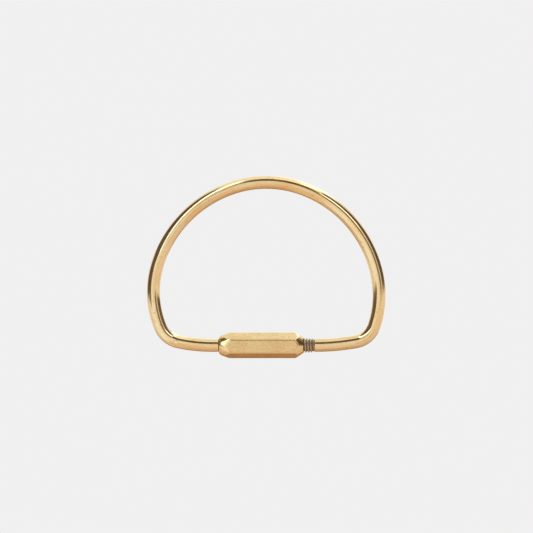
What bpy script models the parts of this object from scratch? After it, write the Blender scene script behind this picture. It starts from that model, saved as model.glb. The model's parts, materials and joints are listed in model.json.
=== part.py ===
"""Screw-lock key ring: a D-shaped bow of round brass wire, closed by a hexagonal screw barrel.

The ring lies flat. The barrel's axis runs along X, the crown of the bow is towards +Y, and Z is up.
The barrel rests on one of its wrench flats and the crown rests on the wire, so both meet Z = 0.
The origin is on that plane, under the middle of the ring's outline.
Unscrewed, the barrel turns about its axis and travels towards +X until it clears the left tip.
"""

import math

import bmesh
import bpy
from mathutils import Matrix, Vector

# Wire
WIRE_RADIUS = 0.00155

# Outline of the bow's centreline. Each half is a straight leg, these arcs, then the crown's arc.
# Each arc is a radius and an angle: leaving the leg, the corner, the flank and the shoulder.
# The wire is bent by hand, so the halves differ a little.
LEFT_ARCS = (
    (0.0390, math.radians(12)),
    (0.0059, math.radians(55.5)),
    (0.0220, math.radians(41.5)),
    (0.0280, math.radians(52)),
)
RIGHT_ARCS = (
    (0.0550, math.radians(10.2)),
    (0.0054, math.radians(61.5)),
    (0.0240, math.radians(32.5)),
    (0.0277, math.radians(57)),
)
CROWN_DISTANCE = 0.03868

# Screw thread
PITCH = 0.00067
OPENING_TURNS = 4
TRAVEL = PITCH * OPENING_TURNS
THREAD_CREST_RADIUS = 0.00165
THREAD_ROOT_RADIUS = 0.00138

# Barrel
BARREL_LENGTH = 0.020
BARREL_CENTRE_X = -0.00119
ACROSS_FLATS = 0.0055
EDGE_RADIUS = 0.00055
LEFT_FACE_RADIUS = 0.00200
RIGHT_FACE_RADIUS = 0.00185
LEFT_CHAMFER = math.radians(27)
RIGHT_CHAMFER = math.radians(29)
BORE_RADIUS = 0.00172
POCKET_RADIUS = 0.00220
POCKET_INSET = 0.0021

# Threaded length inside the barrel
SLEEVE_OUTER_RADIUS = 0.00212
SLEEVE_END_GAP = 0.0003

# Tips of the wire, inside the barrel
LEFT_ENGAGEMENT = 0.0014
RIGHT_TIP_X = 0.0030
TIP_CHAMFER = 0.0003
SHOULDER = 0.0001

# How finely the round shapes are cut
WIRE_STEP = 0.0014
TIGHT_STEP = math.radians(8)
TURNED_STEPS = 48
THREAD_STEPS = 12

# Places that follow from the sizes above
BARREL_LEFT_X = BARREL_CENTRE_X - BARREL_LENGTH / 2
BARREL_RIGHT_X = BARREL_CENTRE_X + BARREL_LENGTH / 2
THREAD_END_X = BARREL_RIGHT_X + TRAVEL
LEFT_TIP_X = BARREL_LEFT_X + LEFT_ENGAGEMENT
AXIS_Z = ACROSS_FLATS / 2

COLLECTION_NAME = "screw_lock_key_ring"


def clear_scene():
    for thing in list(bpy.data.objects):
        bpy.data.objects.remove(thing)


def new_collection(name):
    collection = bpy.data.collections.new(name)
    bpy.context.scene.collection.children.link(collection)
    return collection


def brass(name, colour, roughness):
    material = bpy.data.materials.new(name)
    material.use_nodes = True
    shader = material.node_tree.nodes["Principled BSDF"]
    shader.inputs["Base Color"].default_value = (*colour, 1)
    shader.inputs["Metallic"].default_value = 1
    shader.inputs["Roughness"].default_value = roughness
    return material


def arc_points(start, heading, radius, angle):
    """Points along an arc that turns left from start, without the first one."""
    centre = start + radius * Vector((-math.sin(heading), math.cos(heading)))
    steps = max(2, math.ceil(angle * radius / WIRE_STEP), math.ceil(angle / TIGHT_STEP))
    points = []
    for i in range(1, steps + 1):
        turned = heading + angle * i / steps
        points.append(centre + radius * Vector((math.sin(turned), -math.cos(turned))))
    return points


def half_outline(arcs):
    """One half of the bow's centreline, drawn to the right of the crown, from leg to crown."""
    points = [Vector((0, 0))]
    heading = 0.0
    for radius, angle in arcs:
        points += arc_points(points[-1], heading, radius, angle)
        heading += angle
    crown_radius = (CROWN_DISTANCE - points[-1].y) / (1 + math.cos(heading))
    points += arc_points(points[-1], heading, crown_radius, math.pi - heading)
    crown = Vector((points[-1].x, 0))
    return [point - crown for point in points]


def rest_tilt():
    """The angle that lowers the crown until it lies on the same plane as the barrel's flat."""
    return math.asin((AXIS_Z - WIRE_RADIUS) / CROWN_DISTANCE)


def axis_y():
    """The barrel axis's Y, with the outline's middle at Y = 0."""
    corner = (AXIS_Z - EDGE_RADIUS) / math.cos(math.radians(30)) + EDGE_RADIUS
    crown = CROWN_DISTANCE * math.cos(rest_tilt()) + WIRE_RADIUS
    return (corner - crown) / 2


def wire_route():
    """Centreline points and radii of the whole wire, from the left tip to the right one."""
    root = THREAD_ROOT_RADIUS
    right = [(point, WIRE_RADIUS) for point in half_outline(RIGHT_ARCS)]
    left_half = half_outline(LEFT_ARCS)[:-1]
    left = [(Vector((-point.x, point.y)), WIRE_RADIUS) for point in left_half]
    tip = root - TIP_CHAMFER
    left_end = [
        (Vector((BARREL_LEFT_X, 0)), WIRE_RADIUS),
        (Vector((BARREL_LEFT_X + SHOULDER, 0)), root),
        (Vector((LEFT_TIP_X - TIP_CHAMFER, 0)), root),
        (Vector((LEFT_TIP_X, 0)), tip),
    ]
    right_end = [
        (Vector((THREAD_END_X, 0)), WIRE_RADIUS),
        (Vector((THREAD_END_X - SHOULDER, 0)), root),
        (Vector((RIGHT_TIP_X + TIP_CHAMFER, 0)), root),
        (Vector((RIGHT_TIP_X, 0)), tip),
    ]
    return left_end[::-1] + left + right[::-1] + right_end


def mesh_of_curve(name, points, radii, bevel_radius, bevel_resolution, twist):
    """A mesh tube along points, closed at both ends."""
    curve = bpy.data.curves.new(name, "CURVE")
    curve.dimensions = "3D"
    curve.twist_mode = twist
    curve.bevel_depth = bevel_radius
    curve.bevel_resolution = bevel_resolution
    curve.use_fill_caps = True
    spline = curve.splines.new("POLY")
    spline.points.add(len(points) - 1)
    for spot, point, radius in zip(spline.points, points, radii, strict=True):
        spot.co = (*point, 1)
        spot.radius = radius / bevel_radius
    drawn = bpy.data.objects.new(name + "_curve", curve)
    bpy.context.scene.collection.objects.link(drawn)
    bpy.context.view_layer.update()
    evaluated = drawn.evaluated_get(bpy.context.evaluated_depsgraph_get())
    mesh = bpy.data.meshes.new_from_object(evaluated)
    bpy.data.objects.remove(drawn)
    shape = bmesh.new()
    shape.from_mesh(mesh)
    bmesh.ops.remove_doubles(shape, verts=shape.verts, dist=1e-7)
    bmesh.ops.recalc_face_normals(shape, faces=shape.faces)
    shape.to_mesh(mesh)
    shape.free()
    mesh.name = name
    return mesh


def ridge_mesh(name, start_x, end_x):
    """The thread's ridge, a right-hand helix about X whose ends sink into the wire."""
    height = THREAD_CREST_RADIUS - THREAD_ROOT_RADIUS
    steps = round((end_x - start_x) / PITCH * THREAD_STEPS)
    points = []
    radii = []
    for i in range(steps + 1):
        along = start_x + (end_x - start_x) * i / steps
        turned = math.tau * along / PITCH
        run_out = min(1.0, 2 * i / THREAD_STEPS, 2 * (steps - i) / THREAD_STEPS)
        reach = THREAD_ROOT_RADIUS - height * (1 - run_out)
        points.append(Vector((reach * math.cos(turned), reach * math.sin(turned), along)))
        radii.append(height * max(run_out, 0.2))
    mesh = mesh_of_curve(name, points, radii, height, 0, "Z_UP")
    # The helix is drawn about Z and then laid along X: local X, Y, Z become Y, Z, X
    mesh.transform(Matrix(((0, 0, 1, 0), (1, 0, 0, 0), (0, 1, 0, 0), (0, 0, 0, 1))))
    return mesh


def turned_mesh(name, profile):
    """The mesh of a closed profile of (radius, height) points, to be turned about local Z."""
    shape = bmesh.new()
    corners = [shape.verts.new((radius, 0, height)) for radius, height in profile]
    for here, after in zip(corners, corners[1:] + corners[:1], strict=True):
        shape.edges.new((here, after))
    mesh = bpy.data.meshes.new(name)
    shape.to_mesh(mesh)
    shape.free()
    return mesh


def add_screw(thing):
    screw = thing.modifiers.new("turn", "SCREW")
    screw.axis = "Z"
    screw.steps = TURNED_STEPS
    screw.render_steps = TURNED_STEPS
    screw.use_merge_vertices = True
    screw.merge_threshold = 1e-6
    screw.use_smooth_shade = False


def add_boolean(thing, operation, other):
    cut = thing.modifiers.new(operation.lower(), "BOOLEAN")
    cut.operation = operation
    cut.solver = "EXACT"
    cut.object = other


def place(name, mesh, collection, material, location, rotation):
    thing = bpy.data.objects.new(name, mesh)
    if material:
        thing.data.materials.append(material)
    thing.location = location
    thing.rotation_euler = rotation
    collection.objects.link(thing)
    return thing


def hide_guide(thing):
    thing.hide_render = True
    thing.display_type = "WIRE"


def make_bow(parts, cutters, material, axis, tilt):
    """The bent wire, with the long thread on its right end and a short one on its left tip."""
    route = wire_route()
    points = [point.to_3d() for point, _ in route]
    radii = [radius for _, radius in route]
    mesh = mesh_of_curve("wire_bow", points, radii, WIRE_RADIUS, 4, "MINIMUM")
    rotation = (-tilt, 0, 0)
    bow = place("wire_bow", mesh, parts, material, axis, rotation)
    threads = (
        ("right_thread_ridge", RIGHT_TIP_X + TIP_CHAMFER, THREAD_END_X - SHOULDER),
        ("left_thread_ridge", BARREL_LEFT_X + SHOULDER, LEFT_TIP_X - TIP_CHAMFER),
    )
    for name, start_x, end_x in threads:
        ridge = place(name, ridge_mesh(name, start_x, end_x), cutters, None, axis, rotation)
        hide_guide(ridge)
        add_boolean(bow, "UNION", ridge)
    return bow


def chamfer_depth(face_radius, chamfer, reach):
    """How far in from an end face its conical chamfer meets the given radius."""
    return (reach - face_radius) / math.tan(chamfer)


def make_barrel(parts, cutters, material, centre):
    """Hexagon bar, turned to a cone at both ends and bored, with a wider pocket inside."""
    lying = (0, math.pi / 2, 0)
    top = BARREL_LENGTH / 2
    over = ACROSS_FLATS * 0.65
    pocket = top - POCKET_INSET
    profile = [
        (RIGHT_FACE_RADIUS, top),
        (over, top - chamfer_depth(RIGHT_FACE_RADIUS, RIGHT_CHAMFER, over)),
        (over, chamfer_depth(LEFT_FACE_RADIUS, LEFT_CHAMFER, over) - top),
        (LEFT_FACE_RADIUS, -top),
        (BORE_RADIUS, -top),
        (BORE_RADIUS, -pocket),
        (POCKET_RADIUS, -pocket),
        (POCKET_RADIUS, pocket),
        (BORE_RADIUS, pocket),
        (BORE_RADIUS, top),
    ]
    mesh = turned_mesh("hex_barrel", profile)
    barrel = place("hex_barrel", mesh, parts, material, centre, lying)
    add_screw(barrel)

    bar = bmesh.new()
    bmesh.ops.create_cone(
        bar,
        cap_ends=True,
        segments=6,
        radius1=ACROSS_FLATS / 2 / math.cos(math.radians(30)),
        radius2=ACROSS_FLATS / 2 / math.cos(math.radians(30)),
        depth=BARREL_LENGTH + 4 * EDGE_RADIUS,
    )
    hexagon = bpy.data.meshes.new("hexagon_bar")
    bar.to_mesh(hexagon)
    bar.free()
    hexagon_bar = place("hexagon_bar", hexagon, cutters, None, centre, lying)
    hide_guide(hexagon_bar)
    rounding = hexagon_bar.modifiers.new("rounding", "BEVEL")
    rounding.width = EDGE_RADIUS * math.tan(math.radians(30))
    rounding.offset_type = "OFFSET"
    rounding.segments = 3
    add_boolean(barrel, "INTERSECT", hexagon_bar)
    return barrel


def make_sleeve(parts, material, centre):
    """The barrel's threaded length, the part of it that runs along the wire's screw thread."""
    top = BARREL_LENGTH / 2 - POCKET_INSET - SLEEVE_END_GAP
    profile = [
        (SLEEVE_OUTER_RADIUS, top),
        (SLEEVE_OUTER_RADIUS, -top),
        (BORE_RADIUS, -top),
        (BORE_RADIUS, top),
    ]
    mesh = turned_mesh("barrel_thread", profile)
    sleeve = place("barrel_thread", mesh, parts, material, centre, (0, math.pi / 2, 0))
    add_screw(sleeve)
    return sleeve


def main():
    clear_scene()
    parts = new_collection(COLLECTION_NAME)
    cutters = new_collection("cutters")
    polished = brass("polished_brass", (0.76, 0.54, 0.26), 0.18)
    satin = brass("satin_brass", (0.74, 0.52, 0.25), 0.34)
    dull = brass("dull_brass", (0.45, 0.30, 0.14), 0.5)
    axis = Vector((0, axis_y(), AXIS_Z))
    centre = axis + Vector((BARREL_CENTRE_X, 0, 0))
    bow = make_bow(parts, cutters, polished, axis, rest_tilt())
    barrel = make_barrel(parts, cutters, satin, centre)
    sleeve = make_sleeve(parts, dull, centre)
    for thing in (bow, barrel, sleeve):
        thing.data.shade_flat()


main()
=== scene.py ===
"""Screw-lock key ring: the finished brass surfaces, the studio and the camera.

The bow and the barrel are drawn again as fine meshes on the frame's own axis and sizes: the wire
with its rolled thread, and the hexagonal barrel with turned cones, softened edges and a tapped
bore.
"""

import json
import math

import bpy
import numpy as np
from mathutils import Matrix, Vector


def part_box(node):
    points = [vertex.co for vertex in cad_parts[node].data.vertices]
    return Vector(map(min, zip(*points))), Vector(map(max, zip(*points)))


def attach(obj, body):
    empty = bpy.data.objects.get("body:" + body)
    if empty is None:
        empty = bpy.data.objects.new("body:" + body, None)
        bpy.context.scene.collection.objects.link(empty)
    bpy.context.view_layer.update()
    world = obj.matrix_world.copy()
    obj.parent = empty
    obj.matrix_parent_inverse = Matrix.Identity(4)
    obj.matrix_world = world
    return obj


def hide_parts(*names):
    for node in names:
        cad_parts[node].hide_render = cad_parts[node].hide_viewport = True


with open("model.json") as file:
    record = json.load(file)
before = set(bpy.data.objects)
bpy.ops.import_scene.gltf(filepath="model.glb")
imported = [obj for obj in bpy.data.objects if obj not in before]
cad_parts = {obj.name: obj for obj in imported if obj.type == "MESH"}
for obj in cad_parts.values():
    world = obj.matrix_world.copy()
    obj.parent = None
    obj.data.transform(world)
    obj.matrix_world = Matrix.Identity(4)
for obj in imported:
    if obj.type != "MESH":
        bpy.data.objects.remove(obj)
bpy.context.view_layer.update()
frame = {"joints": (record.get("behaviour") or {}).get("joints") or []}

MM = 0.001

# Sizes and places read from the frame
JOINTS = {joint["name"]: joint for joint in frame["joints"]}
AXIS = Vector(JOINTS["barrel_turn"]["pos_m"])
TRAVEL = JOINTS["barrel_travel"]["range_m"][1]
BARREL_LOW, BARREL_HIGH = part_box("hex_barrel")
SLEEVE_LOW, SLEEVE_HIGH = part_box("barrel_thread")
HALF_FLATS = (BARREL_HIGH.z - BARREL_LOW.z) / 2
HALF_CORNERS = (BARREL_HIGH.y - BARREL_LOW.y) / 2
SIXTH = math.tau / 6

# The wire and its outline, as in the CAD. The arcs of each half are a radius in millimetres and
# an angle in degrees: leaving the straight leg, the corner, the flank and the shoulder.
WIRE_RADIUS = 1.55 * MM
LEFT_ARCS = ((39, 12), (5.9, 55.5), (22, 41.5), (28, 52))
RIGHT_ARCS = ((55, 10.2), (5.4, 61.5), (24, 32.5), (27.7, 57))
CROWN_DISTANCE = 38.68 * MM

# Bending has pressed the wire a little flatter round each corner. The angles are its headings:
# it is fully pressed from CORNER_START to PAST_CORNER, and round again at CORNER_END.
PRESSED = 0.1
CORNER_START = math.radians(25)
PAST_CORNER = math.radians(80)
CORNER_END = math.radians(112)

# Screw thread. Each flank rises between two shares of the way from groove to crest.
OPENING_TURNS = 4
PITCH = TRAVEL / OPENING_TURNS
CREST_RADIUS = 1.70 * MM
LAST_CREST_RADIUS = 1.62 * MM
ROOT_RADIUS = 1.36 * MM
FLANK_FOOT = 0.1
FLANK_TOP = 0.7
RUN_OUT_TURNS = 3
NECK_LENGTH = 0.22 * MM
NECK_EASING = 0.1 * MM
SHOULDER_LENGTH = 0.08 * MM
LEAD_IN_DEPTH = 0.25 * MM
LEAD_IN_SLOPE = 0.9
THREAD_END_X = BARREL_HIGH.x + TRAVEL
LEFT_TIP_X = BARREL_LOW.x + 1.4 * MM
RIGHT_TIP_X = 3.0 * MM
MOUTH_GAP = 0.14 * MM

# Barrel
SHARP_CORNERS = HALF_FLATS / math.cos(SIXTH / 2)
CORNER_RADIUS = (SHARP_CORNERS - HALF_CORNERS) / (SHARP_CORNERS / HALF_FLATS - 1)
LEFT_FACE_RADIUS = 2.00 * MM
RIGHT_FACE_RADIUS = 1.80 * MM
LEFT_SLOPE = math.tan(math.radians(20))
RIGHT_SLOPE = math.tan(math.radians(32))
BORE_RADIUS = 1.72 * MM
TAPPED_DEPTH = 0.13 * MM
POCKET_RADIUS = 2.20 * MM
POCKET_INSET = 2.1 * MM
SLEEVE_RADIUS = 2.12 * MM
SOFT_EDGE = 0.2 * MM
FACET_CROWN = 0.035 * MM
LIP = 0.05 * MM
MOUTH_DEPTH = 0.08 * MM

# Both cones bulge near their rims, the right one half as much. The left one has a filed flat,
# and round the flat its rim is sharper.
ROUNDED_HEIGHT = 0.2 * MM
ROUNDED_LENGTH = 0.4 * MM
FILED_AT = math.radians(14)
FILED_RADIUS = 2.20 * MM
FILED_SLOPE = math.tan(math.radians(16.5))
FILED_EDGE = 0.05 * MM
SHARPER_BY = 0.75
SHARPEST_WITHIN = math.radians(8)
NO_SHARPER_PAST = math.radians(26)
LEAST_COSINE = 0.2

# Where the barrel's long edges are rubbed bright, by the hexagon's radius
RUB_STARTS = 2.98 * MM
RUB_FULL = 3.09 * MM

# How finely the meshes are cut
WIRE_SIDES = 96
BARREL_SIDES = 336
SLEEVE_SIDES = 96
CROWDING = 0.045
THREAD_ROWS = 18
BORE_ROWS = 10
SLEEVE_ROWS = 8
BEND_STEP = 0.3 * MM
LEG_STEP = 0.1 * MM
CONE_STEP = 0.055 * MM
FACET_STEP = 0.8 * MM
CONE_LENGTH = 2.9 * MM
FIRST_ROW = 0.04 * MM

# The studio's glowing table and tent in metres, what they give off, and the room's own light
FLOOR_SIZE = 4
TENT_RADIUS = 1.9
TABLE_LIGHT = (0.879, 0.871, 0.871)
ROOM_LIGHT = (0.97, 0.97, 0.97)


def smooth_step(low, high, value):
    t = np.clip((value - low) / (high - low), 0, 1)
    return t * t * (3 - 2 * t)


def thread_height(x, turned):
    """How high the right-hand thread stands: 0 in its groove, 1 on its crest."""
    phase = x / PITCH - turned / math.tau
    distance = np.abs(2 * (phase - np.floor(phase)) - 1)
    return smooth_step(FLANK_FOOT, FLANK_TOP, 1 - distance)


def steps_between(start, end, spacing):
    """Numbers from start to end, both included, at most spacing apart."""
    return np.linspace(start, end, max(1, math.ceil(abs(end - start) / spacing - 1e-6)) + 1)


def grid_mesh(name, points, is_loop, attributes):
    """A closed mesh on a grid of points[row, column] whose columns go round.

    The rows close into a loop too, or the first and last row are each filled with one face.
    Each attribute is a grid of numbers, or of vectors, that the materials read.
    """
    rows, columns = points.shape[:2]
    index = np.arange(rows * columns).reshape(rows, columns)
    here = index if is_loop else index[:-1]
    after = np.roll(index, -1, axis=0) if is_loop else index[1:]
    corners = [here, np.roll(here, -1, axis=1), np.roll(after, -1, axis=1), after]
    faces = np.stack(corners, axis=-1).reshape(-1, 4).tolist()
    if not is_loop:
        faces.append(index[0, ::-1].tolist())
        faces.append(index[-1].tolist())
    mesh = bpy.data.meshes.new(name)
    mesh.from_pydata(points.reshape(-1, 3).tolist(), [], faces)
    for label, values in attributes.items():
        is_vector = values.ndim == 3
        kind = "FLOAT_VECTOR" if is_vector else "FLOAT"
        layer = mesh.attributes.new(label, kind, "POINT")
        flat = values.astype(np.float32).reshape(-1)
        layer.data.foreach_set("vector" if is_vector else "value", flat)
    mesh.shade_smooth()
    return mesh


def add_piece(name, mesh, material, body, node):
    """A finished piece that stands for a CAD node and rides on its body."""
    thing = bpy.data.objects.new(name, mesh)
    bpy.context.scene.collection.objects.link(thing)
    mesh.materials.append(material)
    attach(thing, body)
    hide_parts(node)


# The bow


def half_centreline(arcs, tip, thread_end):
    """Points and headings of one half, drawn towards +X, from its tip to the crown."""
    points = [np.zeros((1, 2))]
    headings = [np.zeros(1)]

    def add_arc(radius, angle):
        heading = headings[-1][-1]
        centre = points[-1][-1] + radius * np.array([-math.sin(heading), math.cos(heading)])
        turned = heading + steps_between(0, angle, BEND_STEP / radius)[1:]
        points.append(centre + radius * np.stack([np.sin(turned), -np.cos(turned)], axis=1))
        headings.append(turned)

    for radius, angle in arcs:
        add_arc(radius * MM, math.radians(angle))
    heading = headings[-1][-1]
    crown_radius = (CROWN_DISTANCE - points[-1][-1][1]) / (1 + math.cos(heading))
    add_arc(crown_radius, math.pi - heading)
    bent = np.concatenate(points)
    bent[:, 0] -= bent[-1, 0]
    threaded = steps_between(tip, thread_end, PITCH / THREAD_ROWS)
    plain = steps_between(thread_end, bent[0, 0], LEG_STEP)
    x = np.concatenate([threaded[:-1], plain[:-1]])
    points = np.concatenate([np.stack([x, 0 * x], axis=1), bent])
    return points, np.concatenate([0 * x, *headings])


def half_wire(side, arcs, tip, thread_end, around):
    """One half: its centreline, outward directions, radii, groove depths, cut and thickness."""
    points, headings = half_centreline(arcs, tip, thread_end)
    outward = np.stack([np.sin(headings), -np.cos(headings)], axis=1)
    reach = points[:, :1]
    x = side * reach
    # on both legs outward is -Y, so the angle from +Y about +X is half a turn less the ring's
    height = thread_height(x, math.pi - around)
    neck_start = thread_end - NECK_LENGTH
    neck = smooth_step(neck_start - NECK_EASING, neck_start, reach)
    run_out = smooth_step(thread_end - RUN_OUT_TURNS * PITCH, thread_end, reach)
    crest = CREST_RADIUS + (LAST_CREST_RADIUS - CREST_RADIUS) * run_out
    threaded = ROOT_RADIUS + (crest - ROOT_RADIUS) * height * (1 - neck)
    shoulder = smooth_step(thread_end - SHOULDER_LENGTH, thread_end, reach)
    radii = threaded + (WIRE_RADIUS - threaded) * shoulder
    is_threaded = (reach < thread_end) & (headings == 0)[:, None]
    radii = np.where(is_threaded, radii, WIRE_RADIUS)
    lead_in = ROOT_RADIUS - LEAD_IN_DEPTH + (reach - tip) * LEAD_IN_SLOPE
    radii = np.minimum(radii, np.where(is_threaded, lead_in, WIRE_RADIUS))
    depth = (WIRE_RADIUS - radii) / (WIRE_RADIUS - ROOT_RADIUS)
    groove = np.where(is_threaded, np.clip(depth, 0, 1), 0)
    cut = np.where(is_threaded, 1 - shoulder, 0) + 0 * radii
    into_corner = smooth_step(0, CORNER_START, headings)
    not_past = smooth_step(CORNER_END, PAST_CORNER, headings)
    thickness = 1 - PRESSED * (into_corner * not_past)[:, None]
    return points * [side, 1], outward * [side, 1], radii, groove, cut, thickness


def make_bow(material):
    """The wire: both halves joined at the crown, leaning on the ground there."""
    around = math.tau * np.arange(WIRE_SIDES)[None, :] / WIRE_SIDES
    left = half_wire(-1, LEFT_ARCS, -LEFT_TIP_X, -BARREL_LOW.x + MOUTH_GAP, around)
    right = half_wire(1, RIGHT_ARCS, RIGHT_TIP_X, THREAD_END_X, around)
    both = [np.concatenate([a, b[-2::-1]]) for a, b in zip(left, right)]
    points, outward, radii, groove, cut, thickness = both
    step = np.linalg.norm(np.diff(points, axis=0), axis=1)
    along = np.concatenate([[0], np.cumsum(step)])[:, None] + 0 * around
    out_part = radii * np.cos(around)
    up_part = radii * np.sin(around) * thickness
    flat = points[:, None, :] + out_part[:, :, None] * outward[:, None, :]
    tilt = math.asin((AXIS.z - WIRE_RADIUS) / CROWN_DISTANCE)
    spots = np.stack(
        [
            flat[:, :, 0],
            AXIS.y + flat[:, :, 1] * math.cos(tilt) + up_part * math.sin(tilt),
            AXIS.z - flat[:, :, 1] * math.sin(tilt) + up_part * math.cos(tilt),
        ],
        axis=-1,
    )
    rod = np.stack([out_part, up_part, along], axis=-1)
    attributes = {"rod": rod, "groove": groove, "cut": cut}
    mesh = grid_mesh("bow", spots, False, attributes)
    add_piece("bow", mesh, material, "bow", "wire_bow")


# The barrel


def soft_min(a, b, width):
    """The smaller of two radii, rounded over where they meet."""
    overlap = np.maximum(width - np.abs(a - b), 0) / width
    return np.minimum(a, b) - overlap * overlap * width / 4


def hexagon_radius(around):
    """The outline of a hexagon with rounded corners and a flat facing around = 0."""
    turned = np.abs(np.mod(around + SIXTH / 2, SIXTH) - SIXTH / 2)
    centre = (HALF_FLATS - CORNER_RADIUS) / math.cos(SIXTH / 2)
    tangent = math.atan((HALF_FLATS - CORNER_RADIUS) * math.tan(SIXTH / 2) / HALF_FLATS)
    off_corner = SIXTH / 2 - turned
    rounded = centre * np.cos(off_corner)
    off_centre = np.minimum(centre * np.sin(off_corner), CORNER_RADIUS)
    rounded = rounded + np.sqrt(CORNER_RADIUS**2 - off_centre**2)
    outline = np.where(turned < tangent, HALF_FLATS / np.cos(turned), rounded)
    return outline - FACET_CROWN * (turned / (SIXTH / 2)) ** 2


def cone_radius(x, around):
    """The radius of the nearer end's turned cone, with the flat filed across the left one."""
    from_left = x - BARREL_LOW.x
    off_flat = np.abs(np.mod(around - FILED_AT + math.pi, math.tau) - math.pi)
    sharper = smooth_step(NO_SHARPER_PAST, SHARPEST_WITHIN, off_flat)
    rounding = ROUNDED_LENGTH * (1 - SHARPER_BY * sharper)
    left_cone = LEFT_FACE_RADIUS + from_left * LEFT_SLOPE
    left_cone = left_cone + ROUNDED_HEIGHT * (1 - np.exp(-from_left / rounding))
    filed = FILED_RADIUS + from_left * FILED_SLOPE
    filed = filed / np.maximum(np.cos(off_flat), LEAST_COSINE)
    left_cone = soft_min(left_cone, filed, FILED_EDGE)
    from_right = BARREL_HIGH.x - x
    right_cone = RIGHT_FACE_RADIUS + from_right * RIGHT_SLOPE
    right_cone = right_cone + ROUNDED_HEIGHT / 2 * (1 - np.exp(-from_right / ROUNDED_LENGTH))
    return np.minimum(left_cone, right_cone)


def outer_radius(x, around):
    """The barrel's outside: the hexagon, cut by a cone at each end."""
    return soft_min(hexagon_radius(around), cone_radius(x, around), SOFT_EDGE)


def tube_spots(x, radii, around):
    """Points at x along the barrel's axis, at radii, at angles from +Z towards +Y."""
    return np.stack(
        [x + 0 * radii, AXIS.y + radii * np.sin(around), AXIS.z + radii * np.cos(around)],
        axis=-1,
    )


def tapped_radius(x, around):
    """The female thread, whose grooves take the wire's crests."""
    quarter = math.pi / 2
    return BORE_RADIUS + TAPPED_DEPTH * thread_height(x, quarter - around)


def barrel_sides():
    """Angles round the barrel, closer together at the rounded corners."""
    even = math.tau * np.arange(BARREL_SIDES) / BARREL_SIDES
    return (even + CROWDING * np.sin(6 * even))[None, :]


def make_barrel(material):
    """The barrel, as rows of points that run along its outside and back through its bore."""
    around = barrel_sides()
    left, right = BARREL_LOW.x, BARREL_HIGH.x
    on_cone = steps_between(FIRST_ROW, CONE_LENGTH, CONE_STEP)
    between = steps_between(left + CONE_LENGTH, right - CONE_LENGTH, FACET_STEP)[1:-1]
    outside = np.concatenate([left + on_cone, between, right - on_cone[::-1]])
    rows = [(x, outer_radius(x, around)) for x in outside]
    rows.append((right, outer_radius(right, around) - LIP))
    rows.append((right, BORE_RADIUS + TAPPED_DEPTH + 0 * around))
    for x in steps_between(right - MOUTH_DEPTH, right - POCKET_INSET, PITCH / BORE_ROWS):
        rows.append((x, tapped_radius(x, around)))
    rows.append((right - POCKET_INSET, POCKET_RADIUS + 0 * around))
    rows.append((left + POCKET_INSET, POCKET_RADIUS + 0 * around))
    for x in steps_between(left + POCKET_INSET, left + MOUTH_DEPTH, PITCH / BORE_ROWS):
        rows.append((x, tapped_radius(x, around)))
    rows.append((left, BORE_RADIUS + TAPPED_DEPTH + 0 * around))
    rows.append((left, outer_radius(left, around) - LIP))
    x = np.array([row[0] for row in rows])[:, None]
    radii = np.concatenate([row[1] for row in rows])
    spots = tube_spots(x, radii, around)
    past_cone = hexagon_radius(around) - cone_radius(x, around)
    turned = smooth_step(-SOFT_EDGE, SOFT_EDGE, past_cone)
    near_cone = 1 - np.clip(np.abs(past_cone) / SOFT_EDGE, 0, 1)
    near_corner = smooth_step(RUB_STARTS, RUB_FULL, hexagon_radius(around)) + 0 * x
    is_inside = radii < BORE_RADIUS + TAPPED_DEPTH + LIP
    edge = np.where(is_inside, 0, np.maximum(near_cone, near_corner))
    rod = np.stack([radii * np.sin(around), radii * np.cos(around), x + 0 * radii], axis=-1)
    attributes = {"rod": rod, "edge": edge, "turned": np.where(is_inside, 0, turned)}
    # this marks the bore's inside, which the satin material paints dark as shade
    attributes["groove"] = is_inside * 1.0
    mesh = grid_mesh("barrel", spots[::-1], True, {k: v[::-1] for k, v in attributes.items()})
    add_piece("barrel", mesh, material, "barrel", "hex_barrel")


def make_sleeve(material):
    """The barrel's threaded length, tapped right through."""
    around = (math.tau * np.arange(SLEEVE_SIDES) / SLEEVE_SIDES)[None, :]
    left, right = SLEEVE_LOW.x, SLEEVE_HIGH.x
    rows = [(left, SLEEVE_RADIUS + 0 * around), (right, SLEEVE_RADIUS + 0 * around)]
    for x in steps_between(right, left, PITCH / SLEEVE_ROWS):
        rows.append((x, tapped_radius(x, around)))
    x = np.array([row[0] for row in rows])[:, None]
    radii = np.concatenate([row[1] for row in rows])
    spots = tube_spots(x, radii, around)
    rod = np.stack([radii * np.sin(around), radii * np.cos(around), x + 0 * radii], axis=-1)
    mesh = grid_mesh("threaded_length", spots[::-1], True, {"rod": rod[::-1]})
    add_piece("threaded_length", mesh, material, "thread_carrier", "barrel_thread")


# Shader nodes


def plug(tree, socket, value):
    """Link a socket, or set its number, vector or colour."""
    if isinstance(value, bpy.types.NodeSocket):
        tree.links.new(value, socket)
    else:
        socket.default_value = value


def calculate(tree, operation, *values):
    node = tree.nodes.new("ShaderNodeMath")
    node.operation = operation
    for socket, value in zip(node.inputs, values):
        plug(tree, socket, value)
    return node.outputs[0]


def ramp(tree, value, start, end, low=0.0, high=1.0):
    """A smooth step from low, where value is start, to high, where it is end."""
    node = tree.nodes.new("ShaderNodeMapRange")
    node.interpolation_type = "SMOOTHSTEP"
    for socket, setting in zip(node.inputs, (value, start, end, low, high)):
        plug(tree, socket, setting)
    return node.outputs[0]


def blend_colours(tree, factor, first, second):
    node = tree.nodes.new("ShaderNodeMix")
    node.data_type = "RGBA"
    sockets = [socket for socket in node.inputs if socket.enabled]
    for socket, value in zip(sockets, (factor, first, second)):
        if isinstance(value, tuple):
            value = (*value, 1.0)
        plug(tree, socket, value)
    return next(socket for socket in node.outputs if socket.enabled)


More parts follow.
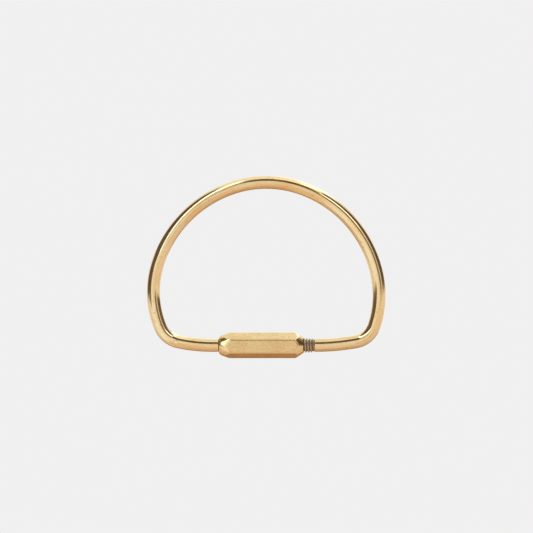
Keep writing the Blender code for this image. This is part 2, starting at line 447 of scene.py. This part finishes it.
def stretched(tree, vector, scales):
    """The vector in millimetres, with each axis scaled."""
    node = tree.nodes.new("ShaderNodeVectorMath")
    node.operation = "MULTIPLY"
    plug(tree, node.inputs[0], vector)
    plug(tree, node.inputs[1], tuple(scale / MM for scale in scales))
    return node.outputs[0]


def noise(tree, vector, scales, detail=2.0, roughness=0.5):
    """Cloudy noise from 0 to 1, with so many lumps per millimetre along each axis."""
    node = tree.nodes.new("ShaderNodeTexNoise")
    plug(tree, node.inputs["Vector"], stretched(tree, vector, scales))
    node.inputs["Scale"].default_value = 1.0
    node.inputs["Detail"].default_value = detail
    node.inputs["Roughness"].default_value = roughness
    return node.outputs["Fac"]


def attribute(tree, name, output="Fac"):
    node = tree.nodes.new("ShaderNodeAttribute")
    node.attribute_name = name
    return node.outputs[output]


def bumped(tree, height, depth, below=None):
    """A normal for a height of 0 to 1 that is depth deep in metres."""
    node = tree.nodes.new("ShaderNodeBump")
    node.inputs["Strength"].default_value = 1.0
    node.inputs["Distance"].default_value = depth
    plug(tree, node.inputs["Height"], height)
    if below is not None:
        plug(tree, node.inputs["Normal"], below)
    return node.outputs[0]


# Materials


def new_metal(name):
    material = bpy.data.materials.new(name)
    material.use_nodes = True
    tree = material.node_tree
    shader = tree.nodes["Principled BSDF"]
    shader.inputs["Metallic"].default_value = 1.0
    return material, tree, shader


def polished_brass():
    """The drawn and polished wire: lengthwise lines, scuffed patches and a browned thread."""
    material, tree, shader = new_metal("polished_brass")
    rod = attribute(tree, "rod", "Vector")
    groove = attribute(tree, "groove")
    cut = attribute(tree, "cut")

    pale, deep = (0.83, 0.63, 0.34), (0.81, 0.54, 0.25)
    streak, speck = (0.66, 0.42, 0.19), (0.46, 0.27, 0.12)
    crest, root = (0.50, 0.37, 0.22), (0.34, 0.22, 0.14)
    clouds = noise(tree, rod, (0.25, 0.25, 0.12), 3.0)
    streaks = noise(tree, rod, (1.6, 1.6, 0.05), 3.0)
    specks = noise(tree, rod, (2.6, 2.6, 1.6), 3.0)
    colour = blend_colours(tree, ramp(tree, clouds, 0.35, 0.7), pale, deep)
    colour = blend_colours(tree, ramp(tree, streaks, 0.5, 0.8, 0, 0.5), colour, streak)
    colour = blend_colours(tree, ramp(tree, specks, 0.55, 0.75, 0, 0.6), colour, speck)
    thread = blend_colours(tree, ramp(tree, groove, 0.0, 0.75), crest, root)
    colour = blend_colours(tree, cut, colour, thread)
    plug(tree, shader.inputs["Base Color"], colour)

    rougher_on_thread = 0.22
    roughness = ramp(tree, noise(tree, rod, (0.5, 0.5, 0.2), 3.0), 0.4, 0.7, 0.1, 0.18)
    roughness = calculate(tree, "MULTIPLY_ADD", cut, rougher_on_thread, roughness)
    plug(tree, shader.inputs["Roughness"], roughness)

    dent_depth, line_depth = 0.006 * MM, 0.0014 * MM
    draw_lines = noise(tree, rod, (7.0, 7.0, 0.08), 2.0)
    dents = noise(tree, rod, (1.0, 1.0, 0.45), 2.0)
    normal = bumped(tree, dents, dent_depth)
    normal = bumped(tree, draw_lines, line_depth, normal)
    plug(tree, shader.inputs["Normal"], normal)
    return material


def satin_brass():
    """The machined barrel: fine grain, turned cones, edges rubbed bright, and the bore's inside
    painted dark as shade.
    """
    material, tree, shader = new_metal("satin_brass")
    rod = attribute(tree, "rod", "Vector")
    edge = attribute(tree, "edge")
    turned = attribute(tree, "turned")
    inside = attribute(tree, "groove")

    pale, deep, spot = (0.80, 0.575, 0.275), (0.76, 0.51, 0.23), (0.62, 0.37, 0.16)
    rubbed, bore_shade = (0.88, 0.66, 0.36), (0.30, 0.19, 0.09)
    clouds = noise(tree, rod, (0.35, 0.35, 0.2), 3.0)
    mottle = noise(tree, rod, (2.2, 2.2, 1.6), 3.0)
    colour = blend_colours(tree, ramp(tree, clouds, 0.35, 0.7), pale, deep)
    colour = blend_colours(tree, ramp(tree, mottle, 0.42, 0.72, 0, 0.6), colour, spot)
    colour = blend_colours(tree, ramp(tree, edge, 0.3, 1.0, 0, 0.6), colour, rubbed)
    # painted shade: the bore's inside takes a dark colour that stands in for the shade within it
    colour = blend_colours(tree, inside, colour, bore_shade)
    plug(tree, shader.inputs["Base Color"], colour)

    smoother_on_edge, smoother_on_cone = -0.02, -0.13
    grain = noise(tree, rod, (4.0, 4.0, 3.0), 3.0, 0.65)
    roughness = ramp(tree, grain, 0.3, 0.7, 0.27, 0.36)
    roughness = calculate(tree, "MULTIPLY_ADD", edge, smoother_on_edge, roughness)
    roughness = calculate(tree, "MULTIPLY_ADD", turned, smoother_on_cone, roughness)
    plug(tree, shader.inputs["Roughness"], roughness)

    grain_depth, ring_depth, grain_left = 0.009 * MM, 0.0012 * MM, 0.05
    rings = noise(tree, rod, (0.15, 0.15, 16.0), 2.0)
    smooth_parts = calculate(tree, "MAXIMUM", turned, edge)
    grain = calculate(tree, "MULTIPLY", grain, ramp(tree, smooth_parts, 1, 0, grain_left, 1))
    normal = bumped(tree, grain, grain_depth)
    rings = calculate(tree, "MULTIPLY", rings, turned)
    normal = bumped(tree, rings, ring_depth, normal)
    plug(tree, shader.inputs["Normal"], normal)
    return material


def dull_brass():
    """The female thread: dulled, and coloured dark as painted shade deep in the bore."""
    material, tree, shader = new_metal("dull_brass")
    rod = attribute(tree, "rod", "Vector")
    # painted shade: both colours are dark browns that stand in for the shade deep inside the
    # barrel
    pale, dark = (0.42, 0.28, 0.13), (0.24, 0.15, 0.07)
    mottle = noise(tree, rod, (1.5, 1.5, 1.5), 3.0)
    plug(tree, shader.inputs["Base Color"], blend_colours(tree, mottle, pale, dark))
    plug(tree, shader.inputs["Roughness"], ramp(tree, mottle, 0.3, 0.7, 0.4, 0.55))
    grain_depth = 0.004 * MM
    normal = bumped(tree, noise(tree, rod, (6, 6, 6)), grain_depth)
    plug(tree, shader.inputs["Normal"], normal)
    return material


# The studio


def pale_glow():
    """What the table and the tent are made of: an even glow."""
    material = bpy.data.materials.new("light_table")
    material.use_nodes = True
    tree = material.node_tree
    glow = tree.nodes.new("ShaderNodeEmission")
    glow.inputs["Color"].default_value = (*TABLE_LIGHT, 1)
    tree.links.new(glow.outputs[0], tree.nodes["Material Output"].inputs["Surface"])
    return material


def make_light_table():
    """A pale light table that glows evenly, so nothing casts a shadow, and a tent like it.

    The metal reflects neither of them. It reflects what is drawn in the world behind them.
    """
    material = pale_glow()
    bpy.ops.mesh.primitive_plane_add(size=FLOOR_SIZE)
    floor = bpy.context.object
    floor.name = "floor"
    bpy.ops.mesh.primitive_uv_sphere_add(radius=TENT_RADIUS, segments=64, ring_count=32)
    tent = bpy.context.object
    tent.name = "tent"
    tent.visible_shadow = False
    for thing in (floor, tent):
        thing.visible_glossy = False
        thing.data.materials.append(material)


# What stands round the ring in the studio, the later ones in front of the earlier ones. Angles
# are in degrees: round the ring from +X towards +Y (middle and half width), and down from
# straight overhead (from and to, at the middle, then how fast each changes round the ring).
# Then come the softness of the edges and the light.
SURROUNDINGS = (
    # a warm glow on the near side, darker low down, with two browner patches on it
    (-90, 70, 20, 180, 0, 0, 50, (0.92, 0.82, 0.79)),
    (-90, 34, 62, 180, 0, 0, 44, (0.74, 0.58, 0.47)),
    (-90, 60, 118, 137, 0, 0, 14, (0.33, 0.18, 0.09)),
    (-112, 10, 12, 110, 0, 0, 12, (0.90, 0.73, 0.60)),
    (-48, 18, 20, 34, 0, 0, 12, (0.72, 0.60, 0.50)),
    # bright screens at the near left and overhead on the left
    (-158, 34, 6, 66, 0, 0, 14, (1.06, 1.18, 1.30)),
    (176, 36, 4, 36, 0, 0, 10, (1.04, 1.14, 1.25)),
    # a white wall at the far side, brightest at its right
    (92, 30, 57, 180, 0, 0, 6, (1.10, 1.18, 1.20)),
    (71, 13, 60, 180, 0, 0, 8, (1.3, 1.45, 1.5)),
    (61, 11, 60, 180, 0, 0, 5, (1.6, 1.9, 2.2)),
    # a dark flag over the far side
    (82, 25, 29, 66, 0, 0, 6, (0.14, 0.115, 0.09)),
    # a grey screen, two dark flags and a strip light at the right
    (12, 14, 42, 70, 0, 0, 8, (0.78, 0.72, 0.70)),
    (30, 30, 62, 118, 0, -0.7, 4, (0.11, 0.095, 0.095)),
    (28, 32, 19, 43, 0, 0, 5, (0.24, 0.185, 0.14)),
    (48, 13, 45, 61, 0, 0, 3, (1.9, 2.3, 2.7)),
    # a bright screen at the left, and before it two thin grey lines, a strip light and dark flags
    (148, 22, 22, 52, 0, 0, 8, (1.15, 1.25, 1.35)),
    (131, 25, 13, 20, 0, -0.1, 4, (0.45, 0.37, 0.30)),
    (131, 25, 29, 37, -0.1, -0.2, 7, (0.50, 0.42, 0.35)),
    (131, 28, 40, 65, -0.4, -0.55, 4, (2.1, 2.7, 3.2)),
    (138, 23, 53, 118, -0.75, 0.8, 6, (0.11, 0.09, 0.11)),
    (168, 18, 42, 118, 0, 0, 6, (0.14, 0.12, 0.12)),
    (180, 10, 38, 60, 0, 0, 5, (0.14, 0.12, 0.12)),
)


def make_world():
    """Draws the surroundings by direction, for the metal to reflect."""
    world = bpy.data.worlds.new("studio")
    bpy.context.scene.world = world
    world.use_nodes = True
    tree = world.node_tree
    direction = tree.nodes.new("ShaderNodeTexCoord").outputs["Generated"]
    parts = tree.nodes.new("ShaderNodeSeparateXYZ")
    tree.links.new(direction, parts.inputs[0])
    x, y, z = parts.outputs
    round_ring = calculate(tree, "MULTIPLY", calculate(tree, "ARCTAN2", y, x), 360 / math.tau)
    from_top = calculate(tree, "MULTIPLY", calculate(tree, "ARCCOSINE", z), 360 / math.tau)
    light = ROOM_LIGHT
    for middle, half, top, bottom, top_slant, bottom_slant, soft, panel in SURROUNDINGS:
        off = calculate(tree, "WRAP", calculate(tree, "SUBTRACT", round_ring, middle), 180, -180)
        top_edge = calculate(tree, "MULTIPLY_ADD", off, top_slant, top)
        bottom_edge = calculate(tree, "MULTIPLY_ADD", off, bottom_slant, bottom)
        above = calculate(tree, "SUBTRACT", from_top, top_edge)
        below = calculate(tree, "SUBTRACT", bottom_edge, from_top)
        margin = soft / 2
        cover = ramp(tree, calculate(tree, "ABSOLUTE", off), half + margin, half - margin)
        cover = calculate(tree, "MULTIPLY", cover, ramp(tree, above, -margin, margin))
        cover = calculate(tree, "MULTIPLY", cover, ramp(tree, below, -margin, margin))
        light = blend_colours(tree, cover, light, panel)
    tree.links.new(light, tree.nodes["Background"].inputs["Color"])


def make_camera():
    """A long lens straight above, leaning a little towards the crown's side."""
    lean = math.radians(3.4)
    distance = 0.6
    span = 126.3 * MM
    target = Vector((0.06 * MM, 0.2 * MM, AXIS.z))
    data = bpy.data.cameras.new("camera")
    data.sensor_width = 36
    data.lens = data.sensor_width * distance / span
    data.clip_start = 0.01
    camera = bpy.data.objects.new("camera", data)
    bpy.context.scene.collection.objects.link(camera)
    camera.location = target + distance * Vector((0, math.sin(lean), math.cos(lean)))
    camera.rotation_euler = (-lean, 0, 0)
    bpy.context.scene.camera = camera


def main():
    bpy.context.scene.view_settings.view_transform = "Standard"
    make_bow(polished_brass())
    make_barrel(satin_brass())
    make_sleeve(dull_brass())
    make_light_table()
    make_world()
    make_camera()


main()
